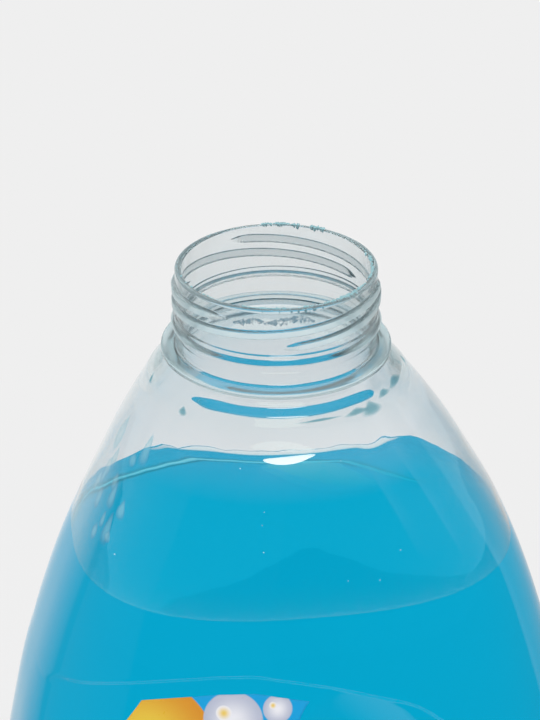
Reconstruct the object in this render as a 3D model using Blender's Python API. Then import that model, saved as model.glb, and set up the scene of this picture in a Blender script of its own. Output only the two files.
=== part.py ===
"""Laundry gel bottle: blown clear bottle with an open threaded neck, its gel fill and two labels.

Sizes are in millimetres and are turned into metres when each mesh is made.
Depths (d) are counted down from the rim, so a point's height is HEIGHT - d.
+Z is up, X is the bottle's width and -Y its front. The origin is the middle
of the base.
"""
import math

import bmesh
import bpy
import numpy as np

MM = 0.001

# Whole bottle
HEIGHT = 290.0
WIDTH = 155.6
DEPTH = 124.5
NECK_X = -4.24
FOOT_X = -0.6
PATTERN_X = -0.9
WALL = 0.8
GAP = 0.35
COLUMNS = 52

# Neck finish: rim, thread, bead ring and support ring
RIM_R = 23.1
BORE_R = 21.6
RIM_ROUND = 0.35
THREAD_R = 24.0
THREAD_LEAD = 10.5
THREAD_SWEEP = 207.0
THREAD_TOP = 3.2
THREAD_STARTS = (232.4, 112.4, -7.6)
THREAD_TAPER = 20.0
THREAD_STEPS = 23
BEAD_TOP = 10.9
BEAD_BOTTOM = 13.4
BEAD_R = 24.05
RING_TOP = 19.0
RING_BOTTOM = 20.4
RING_R = 26.56
RING_ROUND = 0.3
JOIN_TOP = 24.6
JOIN_DROP = 0.5
SHOULDER_TOP = 24.0
INSIDE_TOP = 28.0
BORE_END = 18.0
THROAT_R = 23.2
THROAT_D = 21.2

# Shoulder and body: share of the way from the neck's half width to the body's,
# front-to-back ratio against the body's own, corner exponent, centre shift
JOIN_R = 26.0
BODY_D = (20.8, 24.0, 28.0, 34.0, 42.0, 52.0, 64.0, 78.0, 95.0, 115.0, 140.0, 172.0, 205.0, 240.0, 278.0, 300.0)
BODY_SHARE = (0.0, 0.0556, 0.0979, 0.1722, 0.2639, 0.3635, 0.4776, 0.5882, 0.6946, 0.8023, 0.9141, 0.9884, 1.0, 0.9846, 0.9653, 0.9614)
RATIO_D = (24.0, 68.0, 160.0)
RATIO_K = (WIDTH / DEPTH, 1.021, 1.0)
POWER_D = (24.0, 68.0)
POWER_N = (2.0, 2.6)
SHIFT_D = (24.0, 50.0, 70.0, 100.0, 140.0)
SHIFT_X = (NECK_X, -1.98, -0.96, -0.91, FOOT_X)

# Recessed panel on the front and back, under an arched edge
PANEL = 1.2
PANEL_EDGE = 1.4
ARCH_MID = 82.0
ARCH_X = (-80.0, -62.0, -57.7, -54.0, -48.5, -42.8, -37.2, -29.7, -22.0, -16.0, -9.5, -2.0, 5.4, 11.6, 17.0, 22.9, 28.0, 34.0, 40.0, 80.0)
ARCH_D = (99.0, 96.0, 91.2, 88.8, 85.9, 83.7, 82.0, 80.5, 79.6, 79.5, 80.6, 82.2, 84.1, 86.2, 87.9, 90.6, 94.6, 100.0, 104.0, 106.0)
PANEL_END = 262.0
FADE_X = (32.0, 46.0)

# Pinch grips
GRIP_X = 22.2
GRIP_D = 129.2
GRIP_W = 21.0
GRIP_H = 48.0
GRIP_TILT = 25.7
GRIP_DEEP = 11.0
GRIP_POWER = 2.2

# Foot
HEEL_R = 12.0
FOOT = 7.0
PUSH_UP = 7.0

# Gel fill and labels
GEL_TOP = 68.1
LABEL_THICK = 0.2
LABEL_LIFT = 0.45
LABEL_LEFT = -50.0
LABEL_CHAMFER = 11.0
LABEL_SLOPE = 0.72
LABEL_UNDER_ARCH = 4.8
LABEL_END = 250.0
LABEL_RIGHT = 27.0
LABEL_MARGIN = 2.4


def clear_scene():
    """Remove every object that the new file starts with."""
    for item in list(bpy.data.objects):
        bpy.data.objects.remove(item, do_unlink=True)


def smooth(value):
    """Return the smooth step of value, clipped to 0..1."""
    value = np.clip(value, 0.0, 1.0)
    return value * value * (3.0 - 2.0 * value)


def curve(xs, ys, at):
    """Interpolate with a cubic that keeps each span's rise or fall."""
    xs, ys, at = np.asarray(xs, float), np.asarray(ys, float), np.asarray(at, float)
    width = np.diff(xs)
    rise = np.diff(ys) / width
    slope = np.zeros_like(ys)
    same = rise[:-1] * rise[1:] > 0.0
    first, last = 2 * width[1:] + width[:-1], width[1:] + 2 * width[:-1]
    with np.errstate(divide="ignore", invalid="ignore"):
        mean = (first + last) / (first / rise[:-1] + last / rise[1:])
    slope[1:-1] = np.where(same, mean, 0.0)
    slope[0], slope[-1] = rise[0], rise[-1]
    index = np.clip(np.searchsorted(xs, at) - 1, 0, len(width) - 1)
    step = width[index]
    t = (np.clip(at, xs[0], xs[-1]) - xs[index]) / step
    return ((2 * t**3 - 3 * t**2 + 1) * ys[index] + (t**3 - 2 * t**2 + t) * step * slope[index]
            + (3 * t**2 - 2 * t**3) * ys[index + 1] + (t**3 - t**2) * step * slope[index + 1])


def section(angle, a, b, power):
    """Return x, y of a superellipse at the given polar angles."""
    c, s = np.cos(angle), np.sin(angle)
    radius = ((np.abs(c) / a) ** power + (np.abs(s) / b) ** power) ** (-1.0 / power)
    return radius * c, radius * s


def half_width(depth):
    """Return the body's half width at each depth."""
    return JOIN_R + (WIDTH / 2.0 - JOIN_R) * curve(BODY_D, BODY_SHARE, depth)


def plain_skin(angle, depth):
    """Return points of the body's skin with no recess, before any inset."""
    a = half_width(depth)
    b = a * DEPTH / WIDTH * np.interp(depth, RATIO_D, RATIO_K)
    power = np.interp(depth, POWER_D, POWER_N)
    x, y = section(angle, a, b, power)
    return np.stack([x + curve(SHIFT_D, SHIFT_X, depth), y, depth * np.ones_like(x)], -1)


def skin_normal(angle, depth):
    """Return outward unit normals of the plain skin, depth counted down."""
    e = 1e-4
    around = plain_skin(angle + e, depth) - plain_skin(angle - e, depth)
    down = plain_skin(angle, depth + 0.05) - plain_skin(angle, depth - 0.05)
    normal = np.cross(down, around)
    normal /= np.linalg.norm(normal, axis=-1, keepdims=True)
    flip = np.sign(normal[..., 0] * np.cos(angle) + normal[..., 1] * np.sin(angle))
    return normal * flip[..., None]


def arch(x):
    """Return the depth of the panel's arched edge at x."""
    return np.interp(x - PATTERN_X, ARCH_X, ARCH_D)


def grip_radius(x, depth):
    """Return 0 at a grip's middle and 1 at its edge."""
    tilt = math.radians(GRIP_TILT)
    x = x - PATTERN_X
    u = (x - GRIP_X) * math.cos(tilt) - (depth - GRIP_D) * math.sin(tilt)
    v = (x - GRIP_X) * math.sin(tilt) + (depth - GRIP_D) * math.cos(tilt)
    return np.hypot(u / GRIP_W, v / GRIP_H)


def recess(x, depth):
    """Return how far the skin is pushed in at x and depth."""
    panel = smooth((depth - arch(x)) / PANEL_EDGE)
    panel = panel * smooth((PANEL_END - depth) / PANEL_EDGE)
    panel = panel * (1.0 - smooth((x - PATTERN_X - FADE_X[0]) / (FADE_X[1] - FADE_X[0])))
    grip = np.clip(1.0 - grip_radius(x, depth) ** GRIP_POWER, 0.0, 1.0)
    return PANEL * panel + (GRIP_DEEP - PANEL * panel) * grip


def skin(angle, depth, inset):
    """Return points of the body's skin, recesses and inset included."""
    plain = plain_skin(angle, depth)
    push = recess(plain[..., 0], depth) + inset
    return plain - skin_normal(angle, depth) * push[..., None]


def body_ring(level, inset):
    """Return one ring of the body, bent to follow the panel's arch."""
    angle = np.linspace(0.0, 2.0 * math.pi, COLUMNS, endpoint=False)
    bend = np.interp(level, (GEL_TOP, ARCH_MID, ARCH_MID + 3.0, 150.0), (0.0, 1.0, 1.0, 0.0))
    depth = np.full(COLUMNS, float(level))
    for _ in range(12):
        x = plain_skin(angle, depth)[:, 0]
        depth = level + bend * (arch(x) - ARCH_MID)
    return skin(angle, depth, inset)


def round_ring(radius, depth):
    """Return one ring of the round neck."""
    angle = np.linspace(0.0, 2.0 * math.pi, COLUMNS, endpoint=False)
    return np.stack([NECK_X + radius * np.cos(angle), radius * np.sin(angle), np.full(COLUMNS, depth)], -1)


def foot_rings(inset):
    """Return the rings of the heel, standing ring and push-up."""
    angle = np.linspace(0.0, 2.0 * math.pi, COLUMNS, endpoint=False)
    start = HEIGHT - HEEL_R
    a = float(half_width(start))
    b = a * DEPTH / WIDTH
    rows = []
    for turn in (0.0, 30.0, 60.0, 90.0):
        turn = math.radians(turn)
        reach = HEEL_R - inset
        rows.append((HEEL_R - reach * math.cos(turn), start + reach * math.sin(turn)))
    rows.append((HEEL_R + FOOT, HEIGHT - inset))
    rows.append((HEEL_R + FOOT + 6.0, HEIGHT - inset - 0.55 * PUSH_UP))
    rows.append((HEEL_R + FOOT + 18.0, HEIGHT - inset - 0.95 * PUSH_UP))
    rings = []
    for cut, depth in rows:
        x, y = section(angle, a - cut, b - cut, POWER_N[-1])
        rings.append(np.stack([x + FOOT_X, y, np.full(COLUMNS, depth)], -1))
    return rings, np.array([FOOT_X, 0.0, HEIGHT - inset - PUSH_UP])


def body_levels(first):
    """Return the depths of the body's rings below first."""
    levels = (SHOULDER_TOP, INSIDE_TOP, 34.0, 42.0, 51.0, 60.0, GEL_TOP, ARCH_MID, ARCH_MID + PANEL_EDGE, 90.0, 98.0, 107.0, 116.0,
              125.0, 134.0, 143.0, 152.0, 161.0, 171.0, 184.0, 205.0, 235.0, PANEL_END - PANEL_EDGE, PANEL_END)
    return [level for level in levels if level >= first]


def make_node(name, points, faces, colour, alpha=1.0):
    """Make one named mesh object with its own material."""
    points = np.asarray(points, float)
    places = np.stack([points[:, 0], points[:, 1], HEIGHT - points[:, 2]], -1) * MM
    mesh = bpy.data.meshes.new(name)
    mesh.from_pydata(places.tolist(), [], [list(face) for face in faces])
    mesh.validate()
    item = bpy.data.objects.new(name, mesh)
    bpy.context.scene.collection.objects.link(item)
    material = bpy.data.materials.new(name)
    material.use_nodes = True
    shader = material.node_tree.nodes["Principled BSDF"]
    shader.inputs["Base Color"].default_value = (*colour, 1.0)
    shader.inputs["Roughness"].default_value = 0.15
    shader.inputs["Alpha"].default_value = alpha
    mesh.materials.append(material)
    return item


def band_faces(rings, start, flip):
    """Return triangles between neighbouring rings whose points are in order."""
    faces = []
    for row in range(rings - 1):
        for column in range(COLUMNS):
            after = (column + 1) % COLUMNS
            a, b = start + row * COLUMNS + column, start + row * COLUMNS + after
            c, d = start + (row + 1) * COLUMNS + after, start + (row + 1) * COLUMNS + column
            pair = [(a, d, c), (a, c, b)]
            faces += [face[::-1] for face in pair] if flip else pair
    return faces


def fan_faces(row_start, middle, flip):
    """Return triangles from one ring to a middle point under it."""
    faces = []
    for column in range(COLUMNS):
        a, b = row_start + column, row_start + (column + 1) % COLUMNS
        faces.append((b, a, middle) if not flip else (a, b, middle))
    return faces


def bottle_shell():
    """Make the blown shell: neck, shoulder, body and foot with one wall."""
    outer = [round_ring(RIM_R - RIM_ROUND, 0.0), round_ring(RIM_R, RIM_ROUND), round_ring(RIM_R, BEAD_TOP)]
    outer += [round_ring(BEAD_R, BEAD_TOP + 0.6), round_ring(BEAD_R, BEAD_BOTTOM - 0.6), round_ring(RIM_R, BEAD_BOTTOM)]
    outer += [round_ring(RIM_R, RING_TOP), round_ring(RING_R - RING_ROUND, RING_TOP), round_ring(RING_R, RING_TOP + RING_ROUND)]
    outer += [round_ring(RING_R, RING_BOTTOM - RING_ROUND), round_ring(RING_R - RING_ROUND, RING_BOTTOM)]
    outer += [round_ring(JOIN_TOP, RING_BOTTOM + JOIN_DROP)]
    outer += [body_ring(level, 0.0) for level in body_levels(SHOULDER_TOP)]
    foot, tip = foot_rings(0.0)
    outer += foot
    inner = [round_ring(BORE_R + RIM_ROUND, 0.0), round_ring(BORE_R, RIM_ROUND), round_ring(BORE_R, BORE_END), round_ring(THROAT_R, THROAT_D)]
    inner += [body_ring(level, WALL) for level in body_levels(INSIDE_TOP)]
    foot, inner_tip = foot_rings(WALL)
    inner += foot
    points = np.concatenate(outer + inner + [tip[None], inner_tip[None]])
    first_inner = len(outer) * COLUMNS
    middle = first_inner + len(inner) * COLUMNS
    faces = band_faces(len(outer), 0, False) + band_faces(len(inner), first_inner, True)
    faces += fan_faces((len(outer) - 1) * COLUMNS, middle, False)
    faces += fan_faces(first_inner + (len(inner) - 1) * COLUMNS, middle + 1, True)
    for column in range(COLUMNS):
        after = (column + 1) % COLUMNS
        faces += [(column, after, first_inner + after), (column, first_inner + after, first_inner + column)]
    return make_node("bottle", points, faces, (0.80, 0.87, 0.90), 0.35)


def thread_ridge(start):
    """Make one start of the thread as a closed bar let into the neck wall."""
    turns = np.linspace(0.0, THREAD_SWEEP, THREAD_STEPS + 1)
    lift = np.minimum(smooth(turns / THREAD_TAPER), smooth((THREAD_SWEEP - turns) / THREAD_TAPER))
    top = RIM_R - 0.25 + (THREAD_R - RIM_R + 0.25) * lift
    depth = THREAD_TOP + THREAD_LEAD * turns / 360.0
    angle = np.radians(start - turns)
    half, crest = 0.5 + 0.85 * lift, 0.2 + 0.45 * lift
    corners = []
    for radius, shift in ((RIM_R - 0.6, -half), (top, -crest), (top, crest), (RIM_R - 0.6, half)):
        corners.append(np.stack([NECK_X + radius * np.cos(angle), radius * np.sin(angle), depth + shift], -1))
    points = np.stack(corners, 1).reshape(-1, 3)
    faces = [(3, 2, 1, 0), tuple(len(points) - 4 + i for i in range(4))]
    for step in range(THREAD_STEPS):
        for side in range(4):
            a, b = step * 4 + side, step * 4 + (side + 1) % 4
            faces.append((a, b, b + 4, a + 4))
    return make_node("ridge", points, faces, (0.8, 0.87, 0.9))


def fix_normals(item):
    """Point every face of one closed mesh outward."""
    work = bmesh.new()
    work.from_mesh(item.data)
    bmesh.ops.recalc_face_normals(work, faces=work.faces)
    if work.calc_volume(signed=True) < 0.0:
        bmesh.ops.reverse_faces(work, faces=work.faces)
    work.to_mesh(item.data)
    work.free()


def unite(body, extra):
    """Join one closed body to another and remove the second."""
    fix_normals(extra)
    bpy.context.view_layer.objects.active = body
    change = body.modifiers.new("union", "BOOLEAN")
    change.operation = "UNION"
    change.solver = "EXACT"
    change.object = extra
    bpy.ops.object.modifier_apply(modifier=change.name)
    bpy.data.objects.remove(extra, do_unlink=True)


def gel_fill():
    """Make the gel, a small gap inside the wall, level on top."""
    inset = WALL + GAP
    rings = [body_ring(level, inset) for level in body_levels(GEL_TOP)]
    angle = np.linspace(0.0, 2.0 * math.pi, COLUMNS, endpoint=False)
    depth = np.full(COLUMNS, GEL_TOP)
    for _ in range(12):
        depth += GEL_TOP - skin(angle, depth, inset)[:, 2]
    rings[0] = skin(angle, depth, inset)
    foot, tip = foot_rings(inset)
    rings += foot
    points = np.concatenate(rings + [tip[None]])
    faces = band_faces(len(rings), 0, False)
    faces += fan_faces((len(rings) - 1) * COLUMNS, len(points) - 1, False)
    faces.append(tuple(range(COLUMNS)))
    item = make_node("gel", points, faces, (0.0, 0.42, 0.62), 0.9)
    fix_normals(item)
    return item


def label_grid():
    """Return the x and depth of every point of a label's sheet."""
    low = ARCH_D[9] + LABEL_UNDER_ARCH
    rows = np.array([0.0, 2.5, 6.0, 11.0, 15.3, 22.0, 32.0, 42.0, 52.0, 61.0, 69.0, 77.0, 85.0, 93.0, 115.0, 140.0, 151.0, 158.0, 165.7])
    depth = low + rows * (LABEL_END - low) / rows[-1]
    fade = np.clip(1.0 - rows / 30.0, 0.0, 1.0)
    cut = np.maximum(LABEL_CHAMFER - (depth - low) * LABEL_SLOPE, LABEL_CHAMFER - (LABEL_END - depth) * LABEL_SLOPE)
    left = LABEL_LEFT + np.clip(cut, 0.0, LABEL_CHAMFER)
    across = np.linspace(-25.0, LABEL_RIGHT, 500)
    drop = depth[:, None] + (arch(across) - ARCH_D[9])[None, :] * fade[:, None]
    inside = grip_radius(across[None, :], drop) < 1.0 + LABEL_MARGIN / GRIP_W
    right = np.where(inside.any(axis=1), across[inside.argmax(axis=1)], LABEL_RIGHT)
    share = np.linspace(0.0, 1.0, 11)
    x = left[:, None] + share[None, :] * (right - left)[:, None]
    return x, depth[:, None] + (arch(x) - ARCH_D[9]) * fade[:, None]


def label(name, side):
    """Make one label as a thin sheet that follows the panel."""
    x, down = label_grid()
    angle = side * np.arccos(np.clip(x / 80.0, -1.0, 1.0))
    for _ in range(60):
        place = plain_skin(angle, down)
        angle = angle + side * (place[..., 0] - x) / 70.0
    normal = skin_normal(angle, down)
    push = recess(x, down)[..., None]
    under = plain_skin(angle, down) - normal * (push - LABEL_LIFT)
    over = under + normal * LABEL_THICK
    tall, wide = x.shape
    points = np.concatenate([over.reshape(-1, 3), under.reshape(-1, 3)])
    faces, half = [], tall * wide
    for row in range(tall - 1):
        for column in range(wide - 1):
            a = row * wide + column
            quad = (a, a + 1, a + wide + 1, a + wide)
            faces += [quad[:3], (quad[0], quad[2], quad[3])]
            faces += [(half + quad[2], half + quad[1], half + quad[0]), (half + quad[3], half + quad[2], half + quad[0])]
    border = [c for c in range(wide)] + [r * wide + wide - 1 for r in range(1, tall)]
    border += [(tall - 1) * wide + c for c in range(wide - 2, -1, -1)] + [r * wide for r in range(tall - 2, 0, -1)]
    for index, a in enumerate(border):
        b = border[(index + 1) % len(border)]
        faces.append((a, half + a, half + b, b))
    item = make_node(name, points, faces, (0.82, 0.80, 0.76))
    fix_normals(item)
    return item


def main():
    """Build every node."""
    clear_scene()
    bottle = bottle_shell()
    fix_normals(bottle)
    for start in THREAD_STARTS:
        unite(bottle, thread_ridge(start))
    gel_fill()
    label("front_label", -1.0)
    label("back_label", 1.0)


main()
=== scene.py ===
"""Dressed laundry gel bottle: clear shell, blue gel, two labels, dried gel and the studio.

All shapes are worked out in millimetres, with depths (d) counted down from the
neck's rim, and are turned into metres when a mesh is made. +Z is up, X is the
bottle's width and -Y its front.
"""
from __future__ import annotations

import logging
import math
from dataclasses import dataclass
from enum import Enum

import bpy
import numpy as np
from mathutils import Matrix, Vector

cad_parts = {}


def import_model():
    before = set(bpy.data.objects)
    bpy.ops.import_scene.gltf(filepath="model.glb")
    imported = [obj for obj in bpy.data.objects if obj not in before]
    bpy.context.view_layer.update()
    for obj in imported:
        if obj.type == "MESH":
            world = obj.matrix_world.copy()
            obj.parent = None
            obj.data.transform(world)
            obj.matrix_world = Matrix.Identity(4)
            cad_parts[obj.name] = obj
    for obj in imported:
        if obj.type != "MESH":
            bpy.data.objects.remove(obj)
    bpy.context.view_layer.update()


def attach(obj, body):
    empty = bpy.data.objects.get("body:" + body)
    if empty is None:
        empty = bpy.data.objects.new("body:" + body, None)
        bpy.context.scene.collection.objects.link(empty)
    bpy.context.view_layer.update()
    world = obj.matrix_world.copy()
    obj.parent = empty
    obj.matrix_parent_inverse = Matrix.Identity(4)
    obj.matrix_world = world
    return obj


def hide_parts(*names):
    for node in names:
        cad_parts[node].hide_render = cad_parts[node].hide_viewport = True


MM = 0.001
HEIGHT = 290.0
WIDTH = 155.6
DEPTH = 124.5
GEL_INDEX = 1.36
WHITE = (1.0, 1.0, 1.0, 1.0)
LOG = logging.getLogger("bottle")
Array = np.ndarray
Colour = tuple[float, float, float, float]
Numbers = tuple[float, ...]
Pair = tuple[float, float]
Triple = tuple[float, float, float]
Five = tuple[float, float, float, float, float]
Socket = bpy.types.NodeSocket


def smooth(value: Array) -> Array:
    """Smooth step from 0 to 1: 3t^2 - 2t^3 of the clipped value.

    Args:
        value: Numbers of any shape.

    Returns:
        The eased numbers, in the same shape.
    """
    value = np.clip(value, 0.0, 1.0)
    return value * value * (3.0 - 2.0 * value)


def curve(xs: Numbers, ys: Numbers, at: Array) -> Array:
    """Piecewise cubic through (xs, ys) whose slope at a knot is the weighted harmonic mean of its neighbours.

    Args:
        xs: Rising knots.
        ys: Values at the knots.
        at: Where the curve is read.

    Returns:
        The curve's values, in the shape of at.
    """
    knots, values, at = np.asarray(xs, float), np.asarray(ys, float), np.asarray(at, float)
    width = np.diff(knots)
    rise = np.diff(values) / width
    slope = np.zeros_like(values)
    first, last = 2 * width[1:] + width[:-1], width[1:] + 2 * width[:-1]
    with np.errstate(divide="ignore", invalid="ignore"):
        mean = (first + last) / (first / rise[:-1] + last / rise[1:])
    slope[1:-1] = np.where(rise[:-1] * rise[1:] > 0.0, mean, 0.0)
    slope[0], slope[-1] = rise[0], rise[-1]
    index = np.clip(np.searchsorted(knots, at) - 1, 0, len(width) - 1)
    step = width[index]
    t = (np.clip(at, knots[0], knots[-1]) - knots[index]) / step
    return ((2 * t**3 - 3 * t**2 + 1) * values[index] + (t**3 - 2 * t**2 + t) * step * slope[index]
            + (3 * t**2 - 2 * t**3) * values[index + 1] + (t**3 - t**2) * step * slope[index + 1])


def turns(columns: int) -> Array:
    """Angles of a full turn, evenly spaced and without the closing one."""
    return np.linspace(0.0, 2.0 * math.pi, columns, endpoint=False)


def ripple(angle: Array, seed: int, low: int, high: int) -> Array:
    """Closed random wave: a sum of cosines of whole frequencies with falling strength.

    Args:
        angle: Angles in radians.
        seed: Seed of the phases.
        low: Lowest frequency.
        high: Highest frequency.

    Returns:
        Values of about -1 to 1 in the shape of angle.
    """
    rng = np.random.default_rng(seed)
    frequency = np.arange(low, high + 1)
    phase = rng.uniform(0.0, 2.0 * math.pi, len(frequency))
    weight = rng.uniform(0.4, 1.0, len(frequency)) / np.sqrt(frequency)
    waves = np.cos(angle[..., None] * frequency + phase) * weight
    return waves.sum(-1) / np.sqrt((weight**2).sum())


@dataclass(frozen=True)
class Neck:
    """Screw neck: round, on its own axis beside the body's."""

    axis_x: float = -4.24
    rim_r: float = 23.1
    bore_r: float = 21.6
    rim_round: float = 0.6
    ridge: float = 0.84
    ridge_half: float = 1.08
    ridge_edge: float = 0.34
    lead: float = 10.9
    sweep: float = 209.0
    top: float = 3.0
    starts: Numbers = (232.4, 112.4, -7.6)
    taper: float = 13.0
    bead_at: Numbers = (10.9, 11.2, 11.7, 12.1, 12.5, 12.9, 13.25, 13.5, 13.75)
    bead: Numbers = (0.0, 0.2, 0.26, 0.34, 0.62, 0.92, 1.08, 0.85, 0.0)
    step_at: float = 15.3

    def place(self, angle: Array, radius: Array, depth: Array) -> Array:
        """Points at angle and radius round the neck's axis."""
        angle, radius, depth = np.broadcast_arrays(angle, radius, depth)
        return np.stack([self.axis_x + radius * np.cos(angle), radius * np.sin(angle), depth], -1)

    def wall(self, angle: Array, depth: Array) -> Array:
        """Radius of the outer wall: the rim's radius plus the bead and three helical ridges.

        Each ridge is a crest h with smooth flanks where the distance from the helix
        d = top + lead * turned / 360 nears the half width, and it eases in and out
        over the taper.

        Args:
            angle: Angles in radians, shape (1, columns).
            depth: Depths, shape (rows, 1).

        Returns:
            Radii of shape (rows, columns).
        """
        radius = self.rim_r + 0.06 * smooth((depth - self.step_at) / 0.25) + 0.0 * angle
        on_bead = (depth > self.bead_at[0]) & (depth < self.bead_at[-1])
        radius = radius + curve(self.bead_at, self.bead, depth) * on_bead
        lift = np.zeros_like(radius)
        for start in self.starts:
            turned = (start - np.degrees(angle)) % 360.0
            ease = smooth(turned / self.taper) * smooth((self.sweep - turned) / self.taper)
            middle = self.top + self.lead * turned / 360.0
            half = self.ridge_half * (0.35 + 0.65 * ease)
            bump = smooth((half - np.abs(depth - middle)) / self.ridge_edge)
            lift = np.maximum(lift, self.ridge * ease * bump)
        return radius + lift


@dataclass(frozen=True)
class Body:
    """Shoulder, body, panels, pinch grips and foot."""

    join_r: float = 26.0
    knots: Numbers = (20.8, 24.0, 28.0, 34.0, 42.0, 52.0, 64.0, 78.0, 95.0, 115.0, 140.0, 172.0, 205.0, 240.0,
                      278.0, 300.0)
    share: Numbers = (0.0, 0.0556, 0.0979, 0.1722, 0.2639, 0.3635, 0.4776, 0.5882, 0.6946, 0.8023, 0.9141,
                      0.9884, 1.0, 0.9846, 0.9653, 0.9614)
    ratio_at: Numbers = (24.0, 68.0, 160.0)
    ratio: Numbers = (WIDTH / DEPTH, 1.021, 1.0)
    power_at: Numbers = (24.0, 68.0)
    power: Numbers = (2.0, 2.6)
    shift_at: Numbers = (24.0, 50.0, 70.0, 100.0, 140.0)
    shift: Numbers = (-4.24, -1.98, -0.96, -0.91, -0.6)
    pattern_x: float = -0.9
    panel: float = 1.15
    panel_edge: float = 1.4
    arch_mid: float = 82.0
    arch_x: Numbers = (-80.0, -62.0, -57.7, -54.0, -48.5, -42.8, -37.2, -29.7, -22.0, -16.0, -9.5, -2.0, 5.4,
                       11.6, 17.0, 22.9, 28.0, 34.0, 40.0, 80.0)
    arch_d: Numbers = (99.0, 96.0, 91.2, 88.8, 85.9, 83.7, 82.0, 80.5, 79.6, 79.5, 80.6, 82.2, 84.1,
                       86.2, 87.9, 90.6, 94.6, 100.0, 104.0, 106.0)
    panel_end: float = 262.0
    right_fade: Pair = (32.0, 14.0)
    left_fade: Pair = (-63.0, 8.0)
    left_end: Pair = (104.0, 34.0)
    flat_to: float = 69.0
    grip_x: float = 22.2
    grip_d: float = 129.2
    grip_w: float = 21.0
    grip_h: float = 48.0
    grip_tilt: float = 25.7
    grip_deep: float = 11.0
    heel: float = 12.0
    foot: float = 7.0
    push_up: float = 7.0

    def half_width(self, depth: Array) -> Array:
        """Half width: the neck join's plus a share of the rest of the way to WIDTH / 2."""
        return self.join_r + (WIDTH / 2.0 - self.join_r) * curve(self.knots, self.share, depth)

    def section(self, angle: Array, a: Array, b: Array, power: Array) -> tuple[Array, Array]:
        """Superellipse |x/a|^p + |y/b|^p = 1 read at polar angles.

        Args:
            angle: Polar angles in radians.
            a: Half width.
            b: Half depth.
            power: Exponent p.

        Returns:
            x and y of the points.
        """
        c, s = np.cos(angle), np.sin(angle)
        radius = ((np.abs(c) / a) ** power + (np.abs(s) / b) ** power) ** (-1.0 / power)
        return radius * c, radius * s

    def plain(self, angle: Array, depth: Array) -> Array:
        """Skin without recesses: a superellipse at each depth, shifted along X.

        Args:
            angle: Polar angles.
            depth: Depths, in a shape that goes with angle's.

        Returns:
            Points with a last axis of x, y and depth.
        """
        angle, depth = np.broadcast_arrays(angle, depth)
        a = self.half_width(depth)
        b = a * DEPTH / WIDTH * np.interp(depth, self.ratio_at, self.ratio)
        x, y = self.section(angle, a, b, np.interp(depth, self.power_at, self.power))
        return np.stack([x + curve(self.shift_at, self.shift, depth), y, depth * np.ones_like(x)], -1)

    def normal(self, angle: Array, depth: Array) -> Array:
        """Outward unit normals: cross product of the plain skin's central differences."""
        around = self.plain(angle + 1e-4, depth) - self.plain(angle - 1e-4, depth)
        down = self.plain(angle, depth + 0.05) - self.plain(angle, depth - 0.05)
        out = np.cross(down, around)
        out = out / np.linalg.norm(out, axis=-1, keepdims=True)
        return out * np.sign(out[..., 0] * np.cos(angle) + out[..., 1] * np.sin(angle))[..., None]

    def arch(self, x: Array) -> Array:
        """Depth of the panel's arched edge at x."""
        return curve(self.arch_x, self.arch_d, x - self.pattern_x)

    def grip(self, x: Array, depth: Array) -> Array:
        """Tilted ellipse's own radius: 0 at a grip's middle and 1 at its edge."""
        tilt = math.radians(self.grip_tilt)
        across, down = x - self.pattern_x - self.grip_x, depth - self.grip_d
        u = across * math.cos(tilt) - down * math.sin(tilt)
        v = across * math.sin(tilt) + down * math.cos(tilt)
        return np.hypot(u / self.grip_w, v / self.grip_h)

    def recess(self, x: Array, depth: Array) -> Array:
        """Push inward: a smooth step under the arch and a bowl 1 - r^2.2 in each grip.

        The step fades out to the right, and to the left above left_end. Each fade
        is a pair of where it starts and how long it is.

        Args:
            x: Places across the bottle.
            depth: Depths, in the same shape.

        Returns:
            How far the skin is pushed inward.
        """
        across = x - self.pattern_x
        panel = smooth((depth - self.arch(x)) / self.panel_edge)
        panel = self.panel * panel * smooth((self.panel_end - depth) / self.panel_edge)
        panel = panel * (1.0 - smooth((across - self.right_fade[0]) / self.right_fade[1]))
        left = 1.0 - smooth((across - self.left_fade[0]) / self.left_fade[1])
        panel = panel * (1.0 - left * (1.0 - smooth((depth - self.left_end[0]) / self.left_end[1])))
        bowl = np.clip(1.0 - self.grip(x, depth) ** 2.2, 0.0, 1.0)
        return panel + (self.grip_deep - panel) * bowl

    def skin(self, angle: Array, depth: Array, inset: Array) -> Array:
        """Points of the skin with its recesses, moved inward along the plain normal by inset."""
        points = self.plain(angle, depth)
        push = self.recess(points[..., 0], depth) + inset
        return points - self.normal(angle, depth) * push[..., None]

    def bent(self, angle: Array, levels: Array) -> Array:
        """Depths of rows that follow the panel's arch.

        Each row is level + bend * (arch(x) - arch_mid), where bend rises from 0
        at flat_to to 1 at the arch and falls back to 0 at a depth of 150.

        Args:
            angle: Angles of shape (1, columns).
            levels: Row levels of shape (rows, 1).

        Returns:
            Depths of shape (rows, columns).
        """
        knots = (self.flat_to, self.arch_mid, self.arch_mid + 3.0, 150.0)
        bend = np.interp(levels, knots, (0.0, 1.0, 1.0, 0.0))
        depth = levels + 0.0 * angle
        for _ in range(14):
            depth = levels + bend * (self.arch(self.plain(angle, depth)[..., 0]) - self.arch_mid)
        return depth

    def levels(self, first: float) -> Array:
        """Row levels of the body below a first one, close together at the panel's edges."""
        spans = ((60.5, 70.0, 11), (71.5, 80.2, 6), (81.0, 84.6, 13), (86.0, 176.0, 42), (179.0, 257.0, 17),
                 (259.6, 262.6, 8), (264.0, HEIGHT - self.heel - 1.5, 5))
        levels = np.concatenate([np.arange(first, 60.0, 1.7)] + [np.linspace(*span) for span in spans])
        return levels[levels >= first][:, None]

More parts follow.
